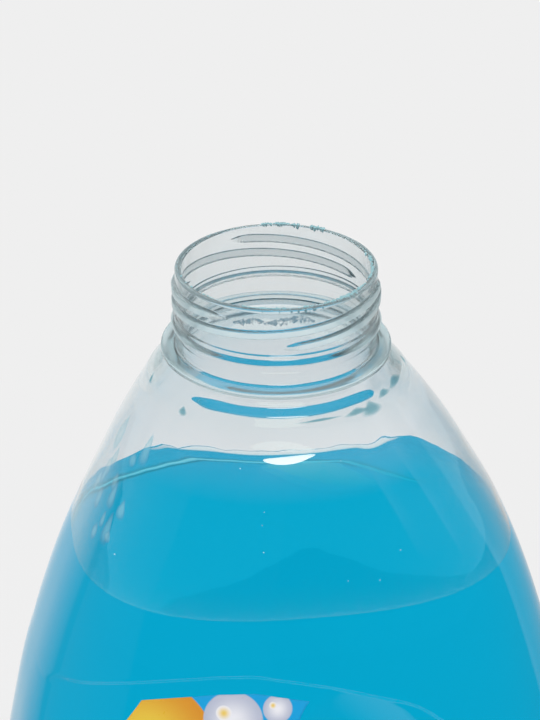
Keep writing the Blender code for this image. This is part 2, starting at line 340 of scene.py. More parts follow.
    def foot_rows(self, angle: Array, inset: float) -> Array:
        """Rows of the heel (a quarter round), standing ring and push-up (a cosine dome).

        Args:
            angle: Angles of shape (columns,).
            inset: How far inside the outer skin the rows lie.

        Returns:
            Points of shape (rows, columns, 3).
        """
        start = HEIGHT - self.heel
        a = float(self.half_width(np.array(start)))
        turn = np.radians(np.linspace(0.0, 90.0, 10))
        reach = self.heel - inset
        cut = self.heel - reach * np.cos(turn)
        down = start + reach * np.sin(turn)
        inward = np.linspace(0.12, 0.985, 10)
        edge = self.heel + self.foot
        far = a * DEPTH / WIDTH - edge - 1.0
        cut = np.concatenate([cut, [self.heel + 0.5 * self.foot, edge], edge + far * inward])
        ease = 1.0 - (1.0 - inward) ** 2.4
        down = np.concatenate([down, [HEIGHT - inset] * 2, HEIGHT - inset - self.push_up * ease])
        b = a * DEPTH / WIDTH
        x, y = self.section(angle[None, :], (a - cut)[:, None], (b - cut)[:, None], np.array(self.power[-1]))
        return np.stack([x + self.shift[-1], y, down[:, None] * np.ones_like(x)], -1)


class Sheet:
    """Grids of points put together into one mesh."""

    def __init__(self) -> None:
        """Start with no points and no faces."""
        self.points: list[Array] = []
        self.quads: list[Array] = []
        self.loose: list[tuple[int, ...]] = []
        self.count = 0

    def add(self, grid: Array, wrap: bool = True, flip: bool = False) -> Array:
        """Add a grid of points joined by quads.

        Args:
            grid: Points of shape (rows, columns, 3), depth as third number.
            wrap: Whether the last column joins the first.
            flip: Whether the faces are turned over.

        Returns:
            The points' indices, of shape (rows, columns).
        """
        rows, columns = grid.shape[:2]
        index = np.arange(rows * columns).reshape(rows, columns) + self.count
        after = np.roll(index, -1, axis=1) if wrap else index[:, 1:]
        here = index if wrap else index[:, :-1]
        quads = np.stack([here[:-1], here[1:], after[1:], after[:-1]], -1).reshape(-1, 4)
        self.quads.append(quads[:, ::-1] if flip else quads)
        self.points.append(grid.reshape(-1, 3))
        self.count += rows * columns
        return index

    def bridge(self, upper: Array, lower: Array, flip: bool = False) -> None:
        """Join two closed rows of equal length with quads."""
        quads = np.stack([upper, lower, np.roll(lower, -1), np.roll(upper, -1)], -1)
        self.quads.append(quads[:, ::-1] if flip else quads)

    def close(self, row: Array, flip: bool = False) -> None:
        """Close a row with one flat face."""
        self.loose.append(tuple(int(i) for i in (row[::-1] if flip else row)))

    def hem(self, top: Array, low: Array, flip: bool) -> None:
        """Join the borders of two open grids of the same shape."""
        edge, base = (np.concatenate([g[0], g[1:, -1], g[-1, -2::-1], g[-2:0:-1, 0]]) for g in (top, low))
        self.bridge(edge, base, flip=flip)

    def ball(self, grid: Array) -> None:
        """Add a closed ball whose first and last row lie at its poles."""
        rows = self.add(grid)
        self.close(rows[0])
        self.close(rows[-1], flip=True)

    def lens(self, over: Array, under: Array) -> None:
        """Add a closed lens of two round grids whose first rows are their middles."""
        top = self.add(over)
        low = self.add(under, flip=True)
        self.close(top[0])
        self.close(low[0], flip=True)
        self.bridge(top[-1], low[-1])

    def build(self, name: str, slot: str, round_off: bool = True) -> bpy.types.Object:
        """Make the object, in metres, riding on the root body.

        Args:
            name: Name of the piece.
            slot: Not used.
            round_off: Whether the faces are shaded smooth.

        Returns:
            The new object.
        """
        points = np.concatenate(self.points)
        places = np.stack([points[:, 0], points[:, 1], HEIGHT - points[:, 2]], -1) * MM
        faces = np.concatenate(self.quads).tolist() if self.quads else []
        mesh = bpy.data.meshes.new(name)
        mesh.from_pydata(places.tolist(), [], faces + self.loose)
        mesh.validate()
        mesh.polygons.foreach_set("use_smooth", [round_off] * len(mesh.polygons))
        item = bpy.data.objects.new(name, mesh)
        bpy.context.scene.collection.objects.link(item)
        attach(item, "root")
        LOG.info("%s: %d faces", name, len(mesh.polygons))
        return item


class Nodes:
    """Short way to write a node tree."""

    def __init__(self, name: str, world: bool = False) -> None:
        """Start an empty tree with its output.

        Args:
            name: Name of the material or world.
            world: Whether the tree is the world's.
        """
        self.material = bpy.data.worlds.new(name) if world else bpy.data.materials.new(name)
        self.material.use_nodes = True
        self.tree = self.material.node_tree
        self.tree.nodes.clear()
        self.output = self.tree.nodes.new("ShaderNodeOutputWorld" if world else "ShaderNodeOutputMaterial")

    def add(self, kind: str, settings: dict[str, object] | None = None, **inputs: object) -> bpy.types.Node:
        """Add a node, set its properties and link or set its inputs.

        Args:
            kind: Node type without the ShaderNode prefix.
            settings: Properties of the node.
            **inputs: Sockets by name with _ for a space, or by number as i0, i1.

        Returns:
            The node.
        """
        node = self.tree.nodes.new("ShaderNode" + kind)
        for key, value in (settings or {}).items():
            setattr(node, key, value)
        for key, value in inputs.items():
            by_number = key[0] == "i" and key[1:].isdigit()
            socket = node.inputs[int(key[1:]) if by_number else key.replace("_", " ")]
            if isinstance(value, Socket):
                self.tree.links.new(value, socket)
            else:
                socket.default_value = value
        return node

    def mix(self, factor: object, first: object, second: object) -> Socket:
        """Blend two colours by a factor and return the result."""
        node = self.add("Mix", {"data_type": "RGBA"})
        for number, value in ((0, factor), (6, first), (7, second)):
            if isinstance(value, Socket):
                self.tree.links.new(value, node.inputs[number])
            else:
                node.inputs[number].default_value = value
        return node.outputs[2]

    def maths(self, kind: str, first: object, second: object = 0.0, third: object = 0.0) -> Socket:
        """Return the result of one arithmetic node."""
        return self.add("Math", {"operation": kind}, i0=first, i1=second, i2=third).outputs[0]

    def ramp(self, value: object, low: float, high: float, top: float = 1.0, soft: bool = False) -> Socket:
        """Rise of a value from 0 at low to top at high, clipped outside them.

        Args:
            value: What is read.
            low: Where the result is 0.
            high: Where the result is top.
            top: The largest result.
            soft: Whether the rise is a smooth step.

        Returns:
            The socket of the result.
        """
        kind = {"interpolation_type": "SMOOTHSTEP" if soft else "LINEAR"}
        return self.add("MapRange", kind, Value=value, From_Min=low, From_Max=high, To_Max=top).outputs[0]

    def attribute(self, name: str) -> Socket:
        """Return a number kept with the mesh."""
        return self.add("Attribute", {"attribute_name": name}).outputs["Fac"]

    def blend(self, factor: object, first: bpy.types.Node, second: bpy.types.Node) -> bpy.types.Node:
        """Mix two shaders by a factor."""
        return self.add("MixShader", i0=factor, i1=first.outputs[0], i2=second.outputs[0])

    def finish(self, surface: bpy.types.Node, volume: bpy.types.Node | None = None) -> bpy.types.Material:
        """Link the last shaders to the output and return the material or world."""
        self.tree.links.new(surface.outputs[0], self.output.inputs["Surface"])
        if volume:
            self.tree.links.new(volume.outputs[0], self.output.inputs["Volume"])
        return self.material


def tone(red: int, green: int, blue: int) -> Colour:
    """Linear colour of a display colour given in 0..255."""
    shown = np.array((red, green, blue)) / 255.0
    linear = np.where(shown <= 0.04045, shown / 12.92, ((shown + 0.055) / 1.055) ** 2.4)
    return (*linear.tolist(), 1.0)


@dataclass(frozen=True)
class ClearPlastic:
    """Blown clear plastic: glossy, refractive, faintly grey-blue where it is thick.

    Where gel wets the inside, light passes from plastic to gel, so the wet index
    is the plastic's over the gel's. A trace of gel on the inner wall tints what
    that wall mirrors. The neck above haze_at is a little rough and milky, most
    of all on its crests.
    """

    film: Colour = (0.05, 0.85, 1.0, 1.0)
    milk: Colour = (0.72, 0.9, 0.94, 1.0)
    crest_milk: float = 0.27
    neck_milk: float = 0.04
    haze: float = 0.05
    haze_at: Pair = (0.262, 0.269)
    index: float = 1.57
    wet_index: float = 1.57 / GEL_INDEX
    density: float = 100.0
    absorb: Colour = (0.56, 0.72, 0.74, 1.0)

    def make(self) -> bpy.types.Material:
        """Build the material with a fine waviness on its surface."""
        nodes = Nodes("clear_plastic")
        place = nodes.add("TexCoord").outputs["Object"]
        wave = nodes.add("TexNoise", Vector=place, Scale=70.0, Detail=2.0, Roughness=0.5)
        bump = nodes.add("Bump", Strength=0.05, Distance=0.0006, Height=wave.outputs[0])
        soak = nodes.attribute("soak")
        height = nodes.add("SeparateXYZ", Vector=place).outputs[2]
        haze = nodes.ramp(height, *self.haze_at, self.haze)
        tint = nodes.mix(nodes.ramp(soak, -34.0, -26.0), WHITE, self.film)
        dry = nodes.add("BsdfPrincipled", IOR=self.index, Roughness=haze, Normal=bump.outputs[0],
                        Transmission_Weight=1.0, Base_Color=(0.99, 0.997, 0.998, 1.0), Specular_Tint=tint)
        wet = nodes.add("BsdfPrincipled", IOR=self.wet_index, Roughness=0.0, Transmission_Weight=1.0,
                        Base_Color=WHITE, Specular_Tint=self.film)
        neck = nodes.ramp(height, *self.haze_at, self.neck_milk)
        share = nodes.maths("MULTIPLY_ADD", nodes.attribute("crest"), self.crest_milk, neck)
        milky = nodes.blend(share, dry, nodes.add("BsdfDiffuse", Color=self.milk))
        fog = nodes.add("VolumeAbsorption", Color=self.absorb, Density=self.density)
        return nodes.finish(nodes.blend(nodes.maths("GREATER_THAN", soak, 0.0), milky, wet), fog)


@dataclass(frozen=True)
class BlueGel:
    """Thick blue liquid: it swallows red first and scatters a little blue light.

    The scattered light is not traced: it is a painted glow, an even emission
    inside the gel in place of the studio light it would scatter. The side that lies
    on the plastic neither bends nor mirrors, as the plastic's wet side does it,
    and the level top mirrors only at a flat angle or where it curls up.
    """

    index: float = GEL_INDEX
    density: float = 105.0
    absorb: Colour = (0.0, 0.6, 0.67, 1.0)
    # glow and strength: a painted glow, an even emission in the gel in place of the studio light it would
    # scatter.
    glow: Colour = (0.0, 0.745, 1.0, 1.0)
    strength: float = 22.6
    sheen: Colour = (0.05, 0.85, 1.0, 1.0)
    mirror_from: Pair = (0.14, 0.4)

    def make(self) -> bpy.types.Material:
        """Build the material."""
        nodes = Nodes("blue_gel")
        mirror = nodes.ramp(nodes.add("Fresnel", IOR=self.index).outputs[0], *self.mirror_from)
        shiny = nodes.add("BsdfPrincipled", IOR=self.index, Roughness=0.0, Transmission_Weight=1.0,
                          Base_Color=WHITE, Specular_Tint=self.sheen)
        calm = nodes.add("BsdfRefraction", IOR=self.index, Roughness=0.0, Color=WHITE)
        free = nodes.blend(nodes.maths("MAXIMUM", mirror, nodes.attribute("curl")), calm, shiny)
        skin = nodes.blend(nodes.attribute("side"), free, nodes.add("BsdfTransparent"))
        fog = nodes.add("VolumeAbsorption", Color=self.absorb, Density=self.density)
        # Painted glow: an even blue emission that stands in for scattered studio light; the gel is no lamp.
        glow = nodes.add("Emission", Color=self.glow, Strength=self.strength)
        return nodes.finish(skin, nodes.add("AddShader", i0=fog.outputs[0], i1=glow.outputs[0]))


@dataclass(frozen=True)
class TintWithPaintedShading:
    """See-through tint that fades out at its edge: the attribute heart is 1 in its middle. ring puts painted
    shade in a ring at the edge, and white puts a painted highlight, a pale emission, in the middle.
    """

    name: str
    tint: Colour
    # ring: share of painted edge shade; white and pale: share and colour of the painted highlight.
    ring: float = 0.0
    white: float = 0.0
    pale: Colour = (0.42, 0.7, 0.78, 1.0)

    def make(self) -> bpy.types.Material:
        """Build the material: tinted in the middle, or as a painted shade ring 4h(1 - h) round a paler heart
        h, plus a painted highlight in the heart by white.
        """
        nodes = Nodes(self.name)
        heart = nodes.attribute("heart")
        hollow = nodes.maths("SUBTRACT", 1.0, heart)
        painted_edge_shade = nodes.maths("MULTIPLY", nodes.maths("MULTIPLY", heart, 4.0), hollow)
        share = nodes.maths("MULTIPLY_ADD", painted_edge_shade, self.ring, nodes.maths("MULTIPLY", heart, 1.0 - self.ring))
        clear = nodes.add("BsdfTransparent", Color=nodes.mix(share, WHITE, self.tint))
        # Painted highlight: a pale emission in the heart, by white.
        pale = nodes.add("Emission", Color=self.pale)
        return nodes.finish(nodes.blend(nodes.maths("MULTIPLY", heart, self.white), clear, pale))


class Shell:
    """The blown bottle: neck, shoulder, body and foot as one closed wall.

    Each knob on the inner wall is an angle and depth, its half width in degrees,
    its half height and how far it stands in. Ring and cuts are outlines of
    radius and depth, and the throat and cone are what the bore gains in radius.
    """

    columns: int = 196
    knobs: tuple[Five, ...] = (
        (-149.0, 29.6, 4.0, 1.2, 0.35), (-58.0, 29.6, 6.0, 1.2, 0.4), (-84.0, 28.4, 16.0, 0.8, 0.3),
        (-110.0, 28.6, 14.0, 0.8, 0.25), (135.0, 38.0, 6.0, 3.0, 0.35), (46.0, 48.0, 4.0, 5.0, 0.3),
        (36.0, 40.0, 4.0, 5.0, 0.3), (28.0, 34.0, 4.0, 3.0, 0.35))
    throat_at: Numbers = (0.0, 19.6, 20.3, 21.1, 21.7, 22.2, 22.9, 23.4, 24.2, 25.5, 27.4)
    throat: Numbers = (0.0, 0.0, 0.22, 0.85, 1.3, 1.42, 1.5, 1.72, 2.45, 3.75, 5.9)
    cone: Numbers = (0.0, 0.0, 0.22, 0.75, 1.2, 1.65, 2.25, 2.7, 3.45, 4.6, 6.3)
    ring: tuple[Pair, ...] = (
        (23.16, 18.3), (23.22, 18.52), (23.38, 18.67), (23.62, 18.76), (24.0, 18.8), (24.5, 18.84),
        (25.0, 18.87), (25.6, 18.92), (26.1, 18.98), (26.4, 19.1), (26.54, 19.32), (26.54, 20.05),
        (26.44, 20.27), (26.15, 20.4), (25.6, 20.46), (25.05, 20.55), (24.8, 20.72), (24.72, 20.95))
    ring_top: tuple[int, int] = (4, 11)
    straight_cut: tuple[Pair, ...] = ((24.72, 20.95), (25.9, 22.1), (26.8, 23.0), (27.7, 23.9), (29.6, 25.75))
    bent_cut: tuple[Pair, ...] = ((24.72, 20.95), (24.8, 22.25), (25.55, 23.05), (27.9, 23.87), (29.6, 25.75))
    front_at: float = -94.5
    wall_at: Numbers = (22.0, 26.0, 32.0, 45.0, 60.0)
    thickness: Numbers = (2.9, 2.1, 1.3, 0.9, 0.8)
    rim_rows: int = 6
    dry: float = -50.0

    def __init__(self, neck: Neck, body: Body, gel: GelFill) -> None:
        """Keep the sizes and the gel that wets the inside."""
        self.neck = neck
        self.body = body
        self.gel = gel

    def outer_neck(self, angle: Array) -> Array:
        """Rim round, threaded wall, support ring and the hollow under it.

        The milky crest is 1 on the thread, and on the bead it fades out at the
        front and is half as strong at the back.

        Args:
            angle: Angles of shape (1, columns).

        Returns:
            Points of shape (rows, columns, 3).
        """
        neck = self.neck
        turn = np.radians(np.linspace(0.0, 90.0, self.rim_rows))
        rim_r = neck.rim_r - neck.rim_round * (1.0 - np.sin(turn))
        rim_d = neck.rim_round * (1.0 - np.cos(turn))
        rows = [neck.place(angle, rim_r[:, None], rim_d[:, None])]
        depth = np.arange(neck.rim_round + 0.12, 18.0, 0.145)[:, None]
        radius = neck.wall(angle, depth)
        turned = np.abs((np.degrees(angle) - self.front_at + 180.0) % 360.0 - 180.0)
        bare = smooth((turned - 30.0) / 14.0) * (1.0 - 0.5 * smooth((turned - 100.0) / 30.0))
        crest = np.clip((radius - neck.rim_r - 0.15) / 0.6, 0.0, 1.0)
        self.crest = crest * np.where(depth < neck.bead_at[0], 1.0, bare)
        rows.append(neck.place(angle, radius, depth))
        ring_r, ring_d = np.array(self.ring).T
        rows.append(neck.place(angle, ring_r[:, None], ring_d[:, None]))
        rows.append(self.fillet(angle))
        return np.concatenate(rows)

    def fillet(self, angle: Array) -> Array:
        """Hollow from the support ring down to the shoulder.

        Its profile is a straight cut at the sides. Towards the front and back it
        bends into an upright part, a slope of 20 degrees and a steep end; the blend
        is a smooth step of the angle from the front or back.

        Args:
            angle: Angles of shape (1, columns).

        Returns:
            Points of shape (25, columns, 3).
        """
        turned = (np.degrees(angle) - self.front_at + 90.0) % 180.0 - 90.0
        share = smooth((60.0 - np.abs(turned)) / 28.0)[..., None]
        cut = np.array(self.straight_cut)[:, None, :]
        bent = np.array(self.bent_cut)[:, None, :]
        knots = cut + (bent - cut) * share
        at = np.linspace(0.0, len(cut) - 1.0, 27)[1:]
        low = np.minimum(at.astype(int), len(cut) - 2)
        rows = knots[low] + (knots[low + 1] - knots[low]) * (at - low)[:, None, None]
        for _ in range(2):
            rows[1:-1] = 0.25 * rows[:-2] + 0.5 * rows[1:-1] + 0.25 * rows[2:]
        return self.neck.place(angle, rows[..., 0], rows[..., 1])

    def lumps(self, angle: Array, depth: Array) -> Array:
        """Unevenness of the blown wall inside: a faint wave and a bell curve at each knob."""
        lumps = 0.06 * ripple(angle, 5, 3, 9) * np.exp(-(((depth - 31.0) / 6.0) ** 2))
        for turned, down, wide, tall, high in self.knobs:
            off = (np.degrees(angle) - turned + 180.0) % 360.0 - 180.0
            lumps = lumps + high * np.exp(-((off / wide) ** 2) - ((depth - down) / tall) ** 2)
        return lumps

    def inner_neck(self, angle: Array) -> Array:
        """Rim's inner round, bore and the throat, which is stepped at the front and a plain cone behind."""
        neck = self.neck
        turn = np.radians(np.linspace(0.0, 90.0, 5))
        rim_r = neck.bore_r + neck.rim_round * (1.0 - np.sin(turn))
        rim_d = neck.rim_round * (1.0 - np.cos(turn))
        depth = np.concatenate([np.linspace(1.2, 19.6, 16), np.linspace(20.0, 27.4, 28)])[:, None]
        front = smooth((-np.sin(angle) - 0.66) / 0.22)
        cone, throat = (curve(self.throat_at, gain, depth) for gain in (self.cone, self.throat))
        bore_r = neck.bore_r + cone * (1.0 - front) + throat * front - self.lumps(angle, depth)
        rim = neck.place(angle, rim_r[:, None], rim_d[:, None])
        return np.concatenate([rim, neck.place(angle, bore_r, depth)])

    def wall(self, depth: Array) -> Array:
        """Wall thickness: thick under the neck, thin on the body."""
        return np.interp(depth, self.wall_at, self.thickness)

    def build(self, material: bpy.types.Material) -> bpy.types.Object:
        """Make the shell and put it in the bottle node's place.

        Args:
            material: The clear plastic.

        Returns:
            The shell object.
        """
        angle = turns(self.columns)[None, :]
        body = self.body
        skin = body.skin(angle, body.bent(angle, body.levels(26.7)), np.zeros((1, 1)))
        outer = [self.outer_neck(angle), skin, body.foot_rows(angle[0], 0.0)]
        depth = body.bent(angle, body.levels(28.8))
        skin = body.skin(angle, depth, self.wall(depth) + self.lumps(angle, depth))
        neck, foot = self.inner_neck(angle), body.foot_rows(angle[0], self.thickness[-1])
        dip = skin[..., 2] - self.gel.contact(angle)
        sheet = Sheet()
        out = sheet.add(np.concatenate(outer))
        inside = sheet.add(np.concatenate([neck, skin, foot]), flip=True)
        sheet.bridge(inside[0], out[0])
        sheet.close(out[-1], flip=True)
        sheet.close(inside[-1])
        item = sheet.build("bottle_shell", "clear_shell")
        above, below = out.size + neck[..., 0].size, foot[..., 0].size
        soak = np.concatenate([np.full(above, self.dry), dip.ravel(), np.full(below, -self.dry)])
        item.data.attributes.new("soak", "FLOAT", "POINT").data.foreach_set("value", soak)
        item.data.attributes.new("crest", "FLOAT", "POINT").data.foreach_set("value", self.milk(sheet.count))
        item.data.materials.append(material)
        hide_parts("bottle")
        return item

    def milk(self, count: int) -> Array:
        """Milkiness of the first rows, which are rim, threaded wall and ring, out of all the points."""
        milk = np.zeros(count)
        first = self.rim_rows * self.columns
        last = first + self.crest.size
        milk[:first] = 0.5
        milk[first:last] = self.crest.ravel()
        top, edge = (last + row * self.columns for row in self.ring_top)
        milk[top:edge] = 0.9
        return milk


class GelFill:
    """The gel: it wets the wall, and its level top turns up at the edge."""

    columns: int = 240
    top: float = 68.1
    inset: float = 0.86
    turn: Numbers = (-180.0, -160.0, -25.0, 0.0, 15.0, 25.0, 30.0, 32.0, 34.0, 39.0, 48.0, 54.0, 60.0,
                     70.0, 80.0, 90.0, 101.0, 110.0, 116.5, 118.6, 120.5, 128.0, 133.0, 139.0, 146.0,
                     152.0, 160.0, 170.0, 180.0)
    film: Numbers = (0.3, 0.12, 0.1, 0.3, 0.9, 1.4, 1.6, 1.9, 2.5, 2.7, 3.0, 3.8, 4.5,
                     4.6, 4.7, 4.7, 4.1, 3.5, 2.9, 1.5, 2.6, 3.1, 3.0, 2.0, 1.3,
                     1.2, 0.9, 0.5, 0.3)
    steps: Numbers = (48.0, 40.0, 30.0, 22.0, 15.0, 10.0, 7.0, 5.0, 3.8, 2.9, 2.2, 1.6, 1.1, 0.7, 0.4, 0.18)
    middle: Pair = (-0.96, 0.0)

    def __init__(self, body: Body) -> None:
        """Keep the body that the gel fills."""
        self.body = body

    def climb(self, angle: Array) -> Array:
        """Height that gel clings to above its level, by the angle round the wall."""
        degrees = np.degrees((angle + math.pi) % (2.0 * math.pi) - math.pi)
        height = np.interp(degrees, self.turn, self.film)
        return height * (1.0 + 0.12 * ripple(angle, 11, 12, 48))

    def contact(self, angle: Array) -> Array:
        """Depth of the line where gel, wall and air meet."""
        return self.top - self.climb(angle)

    def build(self, material: bpy.types.Material) -> bpy.types.Object:
        """Make the gel and put it in the gel node's place.

        The top's height over the level is climb * exp(-distance / reach), where
        the reach grows with the climb.

        Args:
            material: The blue gel.

        Returns:
            The gel object.
        """
        angle = turns(self.columns)[None, :]
        body = self.body
        climb = self.climb(angle)
        line = self.contact(angle)
        edge = line
        for _ in range(12):
            rim = body.skin(angle, edge, np.array(self.inset))
            edge = edge + line - rim[..., 2]
        levels = body.levels(71.0)
        share = np.linspace(0.0, 1.0, 6)[1:-1, None]
        start = body.bent(angle, levels[:1])
        between = edge + (start - edge) * share
        depth = np.concatenate([between, body.bent(angle, levels)])
        side = body.skin(angle, depth, np.array(self.inset))
        away = rim[0, :, :2] - self.middle
        length = np.linalg.norm(away, axis=-1, keepdims=True)
        steps = np.array(self.steps)
        keep = np.clip(1.0 - steps[:, None, None] / length[None], 0.02, 1.0)
        flat = self.middle + away[None] * keep
        rise = climb[0][None, :] * np.exp(-steps[:, None] / (0.5 + 0.3 * climb[0][None, :]))
        top = np.concatenate([flat, (self.top - rise)[..., None]], -1)
        sheet = Sheet()
        rows = sheet.add(np.concatenate([top, rim, side, body.foot_rows(angle[0], self.inset)]))
        sheet.close(rows[0])
        sheet.close(rows[-1], flip=True)
        item = sheet.build("gel_fill", "blue_gel")
        wall = np.ones(len(item.data.polygons))
        wall[:len(steps) * self.columns] = 0.0
        wall[-2] = 0.0
        item.data.attributes.new("side", "FLOAT", "FACE").data.foreach_set("value", wall)
        curl = np.zeros(sheet.count)
        near = np.clip(1.25 * np.exp(-steps / 3.4), 0.0, 1.0)
        curl[:(len(steps) + 1) * self.columns] = np.repeat(np.append(near, 1.0), self.columns)
        item.data.attributes.new("curl", "FLOAT", "POINT").data.foreach_set("value", curl)
        item.data.materials.append(material)
        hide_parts("gel")
        return item


class Side(Enum):
    """Front or back of the bottle, as the sign of Y."""

    FRONT = -1.0
    BACK = 1.0


@dataclass(frozen=True)
class Blob:
    """Round shape in the print: centre and radius in millimetres on the label, and its colours."""

    x: float
    y: float
    radius: float
    inner: Colour
    outer: Colour


@dataclass(frozen=True)
class LabelPrint:
    """Printed film: blue ground with a warm disc, pale bubbles and white waves."""

    ground_top: Colour = tone(0, 164, 226)
    ground_low: Colour = tone(8, 84, 168)
    edge: float = 0.15
    bubbles: tuple[Triple, ...] = (
        (41.6, 162.0, 3.5), (31.4, 159.6, 6.9), (39.5, 151.0, 4.2), (49.0, 150.5, 2.6), (41.0, 141.0, 3.2),
        (29.5, 146.5, 3.6))
    low_bubbles: int = 7
    seed: int = 4
    waves: tuple[tuple[float, float, float, Colour], ...] = (
        (104.0, 5.0, 0.085, tone(70, 176, 222)), (86.0, 6.5, 0.07, tone(236, 240, 246)),
        (74.0, 6.0, 0.075, tone(240, 206, 84)), (66.0, 5.0, 0.08, tone(14, 108, 186)))

    def blobs(self) -> list[Blob]:
        """The round shapes, from the lowest layer to the highest."""
        yellow, orange = tone(236, 208, 70), tone(222, 148, 40)
        white, grey, warm = tone(240, 240, 246), tone(186, 192, 212), tone(240, 206, 96)
        blobs = [Blob(12.5, 154.0, 14.6, yellow, orange), Blob(28.0, 137.0, 9.0, orange, yellow)]
        rng = np.random.default_rng(self.seed)
        for x, y, radius in self.bubbles:
            spark = Blob(x - 0.3 * radius, y + 0.25 * radius, 0.28 * radius, warm, white)
            blobs += [Blob(x, y, radius, white, grey), spark]
        for _ in range(self.low_bubbles):
            x, y = rng.uniform(6.0, 60.0), rng.uniform(12.0, 60.0)
            radius = rng.uniform(1.6, 5.5)
            blobs.append(Blob(x, y, radius, white, tone(120, 190, 226)))
        return blobs

    def make(self) -> bpy.types.Material:
        """Build the print on the label's UV map, which is in millimetres over 100.

        Each round shape is a distance from its centre turned into a sharp mask,
        and the waves are bands of y + a sin(bx).

        Returns:
            The material.
        """
        nodes = Nodes("label_print")
        place = nodes.add("UVMap", {"uv_map": "label"}).outputs[0]
        big = nodes.add("VectorMath", {"operation": "SCALE"}, i0=place, Scale=100.0).outputs[0]
        parts = nodes.add("SeparateXYZ", Vector=big)
        x, y = parts.outputs[0], parts.outputs[1]
        colour = nodes.mix(nodes.ramp(y, 30.0, 150.0), self.ground_low, self.ground_top)
        for height, depth, pace, shade in self.waves:
            swing = nodes.maths("SINE", nodes.maths("MULTIPLY_ADD", x, pace, height))
            wave = nodes.maths("MULTIPLY_ADD", swing, depth, height)
            mask = nodes.ramp(nodes.maths("SUBTRACT", wave, y), -self.edge, self.edge)
            colour = nodes.mix(mask, colour, shade)
        for blob in self.blobs():
            middle = (blob.x, blob.y, 0.0)
            far = nodes.add("VectorMath", {"operation": "DISTANCE"}, i0=big, i1=middle).outputs["Value"]
            fill = nodes.ramp(far, 0.0, blob.radius, soft=True)
            mask = nodes.ramp(far, blob.radius, blob.radius - 2.0 * self.edge)
            colour = nodes.mix(mask, colour, nodes.mix(fill, blob.inner, blob.outer))
        grain = nodes.add("TexNoise", Vector=nodes.add("TexCoord").outputs["Object"], Scale=900.0, Detail=2.0)
        rough = nodes.add("MapRange", Value=grain.outputs[0], To_Min=0.24, To_Max=0.36).outputs[0]
        bump = nodes.add("Bump", Strength=0.04, Distance=0.0001, Height=grain.outputs[0]).outputs[0]
        film = nodes.add("BsdfPrincipled", Base_Color=colour, Roughness=rough, Normal=bump, IOR=1.48)
        return nodes.finish(film)


@dataclass(frozen=True)
class LabelBacking:
    """Inner side of the printed film: a dull dark film with a painted glow in the gel's colour, an emission
    in place of the light it would get through the gel.
    """

    dark: Colour = tone(30, 34, 36)
    painted_gel_glow: Colour = (0.03, 0.42, 0.66, 1.0)

    def make(self) -> bpy.types.Material:
        """Build the material: a dull dark film with a painted glow in the gel's colour."""
        nodes = Nodes("label_backing")
        grain = nodes.add("TexNoise", Vector=nodes.add("TexCoord").outputs["Object"], Scale=260.0, Detail=3.0)
        bump = nodes.add("Bump", Strength=0.05, Distance=0.0001, Height=grain.outputs[0]).outputs[0]
        # The emission is a painted glow: the film is no lamp, and the glow stands in for light that reaches
        # it through the gel.
        return nodes.finish(nodes.add("BsdfPrincipled", Base_Color=self.dark, Roughness=0.5, Normal=bump,
                                      Emission_Color=self.painted_gel_glow, Emission_Strength=1.0))


